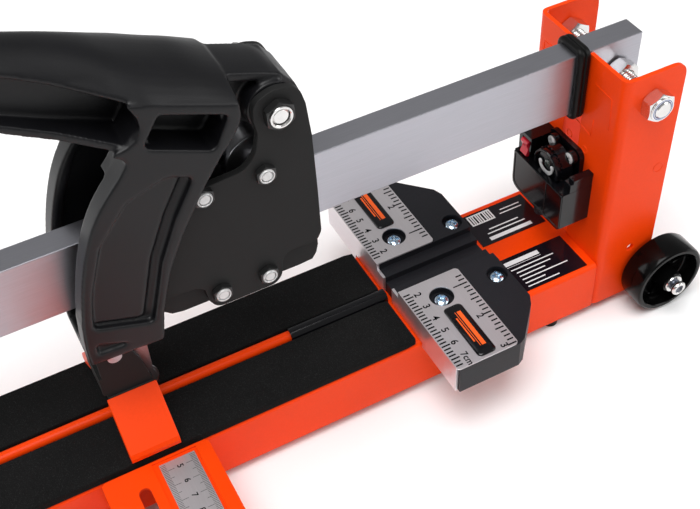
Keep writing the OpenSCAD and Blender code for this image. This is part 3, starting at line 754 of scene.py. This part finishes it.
badge_low, badge_high = span("fence_badges")
badge_mid = (badge_low.x + badge_high.x) / 2
BADGE_W, BADGE_H = 5.8, 19.5
DOME = [(1.0, 0.0), (1.0, 0.35), (0.97, 0.62), (0.9, 0.92), (0.78, 1.12), (0.55, 1.26),
        (0.28, 1.33), (0.02, 1.35)]
bm, stripes = bmesh.new(), bmesh.new()
for sign in (-1, 1):
    y = sign * 56.5
    rings = []
    for shrink, rise in DOME:
        inset = BADGE_W * (1 - shrink)
        w, h = BADGE_W - inset, BADGE_H - inset
        rings.append([(a, b, badge_low.z + rise) for a, b in rounded(
            [(badge_mid - w, y - h), (badge_mid + w, y - h), (badge_mid + w, y + h),
             (badge_mid - w, y + h)], min(3, w * 0.9), 5)])
    skin(bm, rings)
    for x, half, wide in ((badge_mid + 1.1, 13.5, 1.25), (badge_mid - 1.2, 13.5, 0.22),
                          (badge_mid - 2.6, 9.5, 0.45)):
        box(stripes, (x - wide, y - half, badge_low.z + 1.0), (x + wide, y + half, badge_low.z + 1.37))
piece("badge_domes", bm, "base", GLOSS, "fence_badges", angle=60)
piece("badge_stripes", stripes, "base", BADGE_PRINT)

# plain bars and a striped block stand in for the labels' print
label_top = span("base_labels")[1].z
boxes = [(73, -11.4, 97, -14.6)]
for row, (start, end) in enumerate(((74, 104), (76, 100), (76, 94), (76, 108), (76, 90), (76, 98))):
    boxes.append((start, -18.2 - 3.1 * row, end, -19.0 - 3.1 * row))
boxes.append((73, -15.6, 97, -15.9))
boxes += [(78, 9, 108, 11.8), (79, 14.4, 106, 15.3), (82, 17.6, 103, 18.5), (95, 26, 111, 26.8),
          (97, 29, 111, 29.8)]
boxes.append((74.5, 24.6, 91, 33.6))
printed("label_lines", PRINT, "base", boxes, [], label_top + 0.02)
bars, x = [], 75.6
for wide in (0.8, 0.5, 1.1, 0.5, 0.7, 1.3, 0.5, 0.8, 0.6):
    bars.append((x, 25.6, x + wide, 32.6))
    x += wide + 0.95
printed("label_bars", INK, "base", bars, [], label_top + 0.05)

for side, sign in (("near", -1), ("far", 1)):
    low, high = span("arm_ruler_" + side)
    boxes, figures = [], []
    for step in range(46, 187):
        y = step * sign
        reach = 6.4 if step % 10 == 0 else 4.6 if step % 5 == 0 else 2.8
        boxes.append((low.x + 0.3, y - 0.1, low.x + 0.3 + reach, y + 0.1))
        boxes.append((high.x - 0.3, y - 0.1, high.x - 0.3 - reach, y + 0.1))
        if step % 10 == 0:
            figures.append((str(step // 10), 4.6, (low.x + high.x) / 2, y, -90))
    printed("arm_marks_" + side, INK, "arm_" + side, boxes, figures, high.z + PRINT_LIFT)

# ---- carriage hardware ----

AXLES = [(-73.7, 148), (-105.1, 148), (-78.8, 82.9), (-104.2, 82.9)]
SEAT = PLATE_OUT + 0.02  # nuts rest just off the plates
black, ends = bmesh.new(), bmesh.new()
for x, z in AXLES:
    hex_nut(black, (x, -SEAT, z), (0, -1, 0), 9.5, 3.08, 3.7)
    turn(ends, [(3.1, 0.5), (3.95, 0.5), (3.95, 3.3), (3.7, 3.7), (3.3, 3.75), (3.1, 3.5)],
         (x, -SEAT, z), (0, -1, 0), 40, loop=True)
piece("axle_hex_nuts", black, "carriage", BLACK_NUT, "axle_nuts")
for x, z in AXLES:
    turn(ends, [(0, 0), (2.9, 0), (2.9, 44.6), (2.4, 45.1), (0, 45.1)], (x, 21, z), (0, -1, 0), 32)
    hex_nut(ends, (x, SEAT, z), (0, 1, 0), 9.6, 4.0, 2.9)
piece("axle_screws", ends, "carriage", SILVER, "axle_bolts")
bm = bmesh.new()
hex_nut(bm, (PIVOT[0], -SEAT, PIVOT[1]), (0, -1, 0), 13.6, 4.3, 5.7)
piece("pivot_hex_nut", bm, "carriage", BLACK_NUT, "pivot_nut")
bm = bmesh.new()
turn(bm, [(4.4, 0.5), (5.9, 0.5), (5.9, 4.4), (5.6, 5.0), (4.8, 5.1), (4.4, 4.7)],
     (PIVOT[0], -SEAT, PIVOT[1]), (0, -1, 0), 48, loop=True)
turn(bm, [(0, 0), (4.1, 0), (4.1, 45.2), (3.5, 45.7), (0, 45.7)], (PIVOT[0], 21, PIVOT[1]),
     (0, -1, 0), 40)
hex_nut(bm, (PIVOT[0], SEAT, PIVOT[1]), (0, 1, 0), 15.8, 6.3, 4.1)
piece("pivot_screw", bm, "carriage", ZINC, "pivot_bolt")

# ---- wheels ----


def wheel(side, sign):
    """Moulded wheel: deep dished face with triangular ribs round a hub."""
    bm = bmesh.new()
    out = (0, sign, 0)
    rim = [(4.1, 41), (7.5, 41), (8.5, 43), (20, 43), (22, 41.2), (23.4, 41.8), (24, 43.2), (24, 56.6),
           (23.5, 58.2), (22.4, 59), (20.6, 59), (20.2, 58.5), (20.0, 48.6), (19.4, 48), (7.6, 48),
           (7.2, 48.6), (6.7, 61), (6.3, 61.5), (4.1, 61.5)]
    turn(bm, rim, (WHEEL_X, 0, WHEEL_Z), out, 96, loop=True)
    for k in range(3):
        a = math.radians(40 + 120 * k)
        corners = [(9, a - 0.25), (18.6, a - 0.42), (18.6, a + 0.42), (9, a + 0.25)]
        points = [Vector((WHEEL_X + r * math.cos(t), 0, WHEEL_Z + r * math.sin(t)))
                  for r, t in corners]
        for p, q in zip(points, points[1:]):
            along = (q - p).normalized()
            across = along.cross(Vector((0, 1, 0))) * 0.5
            ring = [p - across, p + across, q + across, q - across]
            skin(bm, [[(v.x, sign * y, v.z) for v in ring] for y in (47.5, 50.5)])
    piece("dished_wheel_" + side, bm, "wheel_" + side, TYRE, "wheel_" + side, angle=30)


wheel("near", -1)
wheel("far", 1)
barrels, nuts = bmesh.new(), bmesh.new()
for sign in (-1, 1):
    out = (0, sign, 0)
    centre = (WHEEL_X, 0, WHEEL_Z)
    turn(barrels, [(0, 31.2), (3.7, 31.2), (3.7, 66.5), (0, 66.5)], centre, out, 40)
    turn(barrels, [(4.0, 39.7), (6, 39.7), (6, 40.6), (4.0, 40.6)], centre, out, 40, loop=True)
    hex_nut(nuts, (WHEEL_X, sign * 31.5, WHEEL_Z), out, 13, 5.4, 4.05)
    turn(nuts, [(3.8, 61.6), (5.7, 61.6), (5.9, 61.9), (5.7, 62.6), (3.8, 62.8)], centre, out, 48,
         loop=True)
    turn(nuts, [(2.7, 65.2), (4.5, 65.2), (4.7, 65.5), (4.7, 67.1), (4.3, 67.7), (3.0, 67.8),
                (2.7, 67.5)], centre, out, 48, loop=True)
DARK = material("hex_socket", (0.10, 0.11, 0.14), 0.3, metallic=1, tint=0.2, grain=500)
piece("wheel_barrels", barrels, "base", DARK, "wheel_axles")
piece("wheel_washers", nuts, "base", ZINC, "wheel_nuts")

# ---- laser details ----

turret_low, turret_high = span("laser_turret")
AXIS_Y, AXIS_Z = (turret_low.y + turret_high.y) / 2, (turret_low.z + turret_high.z) / 2
front = turret_low.x
bm = bmesh.new()
ahead = (1, 0, 0)
profile = [(9.7, 1.6), (9.7, 0.3), (10.2, 0), (11.1, 0), (11.6, 0.5), (11.6, 2.6), (11.0, 3.0),
           (11.0, 3.8), (12, 4.2), (12, 10.8), (11.5, 11.1), (0, 11.1), (0, 1.6)]
TOOTH = ((11.0, -0.55), (12.0, -0.4), (12.0, 0.4), (11.0, 0.55))
turn(bm, profile, (front, AXIS_Y, AXIS_Z), ahead, 72)
for k in range(24):
    a = 2 * math.pi * k / 24
    c, s = math.cos(a), math.sin(a)
    ring = [(r * c - t * s, r * s + t * c) for r, t in TOOTH]
    skin(bm, [[(front + x, AXIS_Y + y, AXIS_Z + z) for y, z in ring] for x in (3.0, 4.6)])
piece("laser_barrel", bm, "laser_head", GLOSS, "laser_turret", angle=35)

LENS_Z = AXIS_Z + 2.7
CRESCENT = 6.9
bm, lens = bmesh.new(), bmesh.new()
rings = []
for k in range(25):
    a = math.radians(-200 + 8 * k)
    y, z = math.cos(a), math.sin(a)
    wide = 2.2 * math.sin(math.pi * k / 24) ** 0.4 + 0.15
    inner = CRESCENT - wide
    rings.append([(front + x, AXIS_Y + y * r, LENS_Z + z * r)
                  for r, x in ((inner, 0.95), (inner, 0.5), (CRESCENT, 0.15), (CRESCENT, 0.95))])
skin(bm, rings)
for a in (math.radians(-185), math.radians(-15)):
    phillips(bm, (front + 0.9, AXIS_Y + 5.6 * math.cos(a), LENS_Z + 5.6 * math.sin(a)),
             (-1, 0, 0), 1.5, 0.9)
GLASS = material("lens_glass", (0.02, 0.03, 0.025), 0.06, tint=0.2, grain=100, bump=0.01, coat=0.6)
piece("laser_crescent", bm, "laser_head", SILVER, "laser_lens", angle=40)
turn(lens, [(0, 1.5), (2.6, 1.5), (2.4, 1.0), (1.5, 0.72), (0.6, 0.62), (0, 0.6)],
     (front, AXIS_Y, LENS_Z), ahead, 32)
piece("laser_glass", lens, "laser_head", GLASS, angle=60)

bm = bmesh.new()
house_low, house_high = span("laser_housing")
x0 = house_low.x
MOUNTS = ((7.2, 65.5, 10), (-9.6, 64.8, 55))  # y, z and turn of the two mounting screws
HEAD = 3.4
for y, z, _ in MOUNTS:
    turn(bm, [(0, 0), (HEAD + 0.9, 0), (HEAD + 0.9, 3.2), (0, 3.2)], (house_high.x - 3.4, y, z),
         (-1, 0, 0), 32)
outline = rounded([(-24.3, 25.6), (24.3, 25.6), (24.3, 52.6), (-24.3, 52.6)], [2.5, 7, 1, 1], 5)
inset = rounded([(-22.6, 27.4), (22.6, 27.4), (22.6, 51.2), (-22.6, 51.2)], [2, 6, 0.8, 0.8], 5)
skin(bm, [[(x0 + 0.3, y, z) for y, z in outline], [(x0 - 0.4, y, z) for y, z in outline],
          [(x0 - 0.9, y * 0.985, z) for y, z in outline], [(x0 - 0.9, y, z) for y, z in inset],
          [(x0 - 0.55, y, z) for y, z in inset]])
box(bm, (x0 - 1.0, -9.2, 26.5), (x0 - 0.5, -8.7, 52))
box(bm, (106, -24.4, 52.5), (house_high.x, -18.6, 59))
box(bm, (108, -24.6, 59), (house_high.x, -19.8, 61.5))
piece("laser_shell", bm, "base", GLOSS, edge=0.35)
bm = bmesh.new()
for y, z, spin in MOUNTS:
    phillips(bm, (house_high.x - 6.6, y, z), (-1, 0, 0), HEAD, 1.2, spin)
    turn(bm, [(0, 0), (1.9, 0), (1.9, 6.4), (0, 6.4)], (house_high.x - 6.6, y, z), (1, 0, 0), 24)
piece("laser_mount_screws", bm, "base", SILVER, "laser_screws", angle=40)
bm = bmesh.new()
knob_low, knob_high = span("laser_knob")
mid = ((knob_low.x + knob_high.x) / 2, (knob_low.y + knob_high.y) / 2, knob_low.z)
turn(bm, [(0, 0), (3.6, 0), (4.3, 0.5), (4.3, 6.9), (3.9, 7.4), (2, 7.5), (2, 12.9), (0, 12.9)],
     mid, (0, 0, 1), 40)
for k in range(18):
    a = 2 * math.pi * k / 18
    turn(bm, [(0, 0.9), (0.42, 1.1), (0.42, 6.4), (0, 6.7)],
         (mid[0] + 4.25 * math.cos(a), mid[1] + 4.25 * math.sin(a), mid[2]), (0, 0, 1), 8)
piece("laser_knurled_knob", bm, "laser_knob", PLASTIC, "laser_knob", angle=40)
bm = bmesh.new()
rock_low, rock_high = span("laser_switch")
side = [(rock_high.x - 0.4, rock_low.z), (rock_low.x + 0.9, rock_low.z),
        (rock_low.x - 0.3, rock_low.z + 1.2),
        (rock_low.x + 1.3, (rock_low.z + rock_high.z) / 2), (rock_low.x - 0.3, rock_high.z - 1.2),
        (rock_low.x + 0.9, rock_high.z), (rock_high.x - 0.4, rock_high.z)]
prism(bm, side, "y", 14.6, 20.9)
piece("laser_rocker", bm, "laser_switch", RED, "laser_switch", edge=0.3)

# ---- grip ----

# stations of (x, height of the middle, half height, half width)
GRIP = [(-198.2, 238, 18.6, 15.2), (-206, 241.6, 18.9, 15.6), (-226, 251, 17.9, 15.0),
        (-250, 261.2, 18.3, 15.4), (-275, 271.4, 18.3, 15.6), (-300, 281.5, 17.9, 15.4),
        (-315, 286.6, 16.6, 14.6), (-322, 289, 14, 12.4), (-326, 290.3, 9, 8)]
TREAD = 4.2  # distance between the ribs
SLOPE = math.radians(22)
bm = bmesh.new()
rings, per, around = [], 14, 64
last = per * (len(GRIP) - 1)
for k in range(last + 1):
    x, z, tall, wide = between(GRIP, k / per)
    length = (GRIP[0][0] - x) * 1.08
    wave = 0.0
    if 14 < length < 122:
        wave = 0.45 * (0.5 + 0.5 * math.cos(2 * math.pi * length / TREAD)) ** 3
    ring = []
    for i in range(around):
        a = 2 * math.pi * i / around
        c, s = math.cos(a), math.sin(a)
        tread = wave * (1 if s < 0.25 else max(0.0, 1 - (s - 0.25) * 4))
        across = (wide - tread) * c
        up = (tall - tread) * s
        ring.append((x + up * math.sin(SLOPE), across, z + up * math.cos(SLOPE)))
    rings.append(ring)
skin(bm, rings)
piece("rubber_grip", bm, "handle", RUBBER, "handle_grip", angle=70)

# ---- camera and light ----

camera = bpy.data.objects.new("camera", bpy.data.cameras.new("camera"))
scene.collection.objects.link(camera)
scene.camera = camera
EYE = Vector((-208.9, -394.9, 499.3))
AZIMUTH, ELEVATION, ROLL = -25.235, 45.93, -3.50
FOCAL = 58.48
camera.matrix_world = (
    Matrix.Translation(ZERO + EYE * MM)
    @ Matrix.Rotation(math.radians(AZIMUTH), 4, "Z")
    @ Matrix.Rotation(math.radians(90 - ELEVATION), 4, "X")
    @ Matrix.Rotation(math.radians(ROLL), 4, "Z")
)
camera.data.sensor_fit = "HORIZONTAL"
camera.data.sensor_width = 36
camera.data.lens = FOCAL
camera.data.clip_start = 0.01

scene.view_settings.view_transform = "Standard"
world = bpy.data.worlds.new("studio")
scene.world = world
world.use_nodes = True
world.node_tree.nodes["Background"].inputs["Color"].default_value = (1, 1, 1, 1)
world.node_tree.nodes["Background"].inputs["Strength"].default_value = 0.34


def softbox(name, place, aim, width, power):
    """Square area light at a place, aimed at a point, both in frame metres."""
    lamp = bpy.data.lights.new(name, "AREA")
    lamp.size = width
    lamp.energy = power
    obj = bpy.data.objects.new(name, lamp)
    scene.collection.objects.link(obj)
    obj.location = place
    obj.rotation_euler = (Vector(aim) - Vector(place)).to_track_quat("-Z", "Y").to_euler()


AIM = (0.3, 0, 0.1)
softbox("key_light", (-0.1, -0.5, 2.3), AIM, 1.5, 48)
softbox("side_light", (2.0, -0.9, 1.1), AIM, 1.2, 14)
softbox("rim_light", (-1.4, 0.9, 1.0), AIM, 1.2, 14)

floor_bm = bmesh.new()
bmesh.ops.create_grid(floor_bm, x_segments=1, y_segments=1, size=4)
floor_mesh = bpy.data.meshes.new("floor")
floor_bm.to_mesh(floor_mesh)
floor_bm.free()
FLOOR = material("floor", (0.97, 0.97, 0.97), 0.8, tint=0.01, bump=0.02)
floor_mesh.materials.append(FLOOR)
floor = bpy.data.objects.new("floor", floor_mesh)
scene.collection.objects.link(floor)
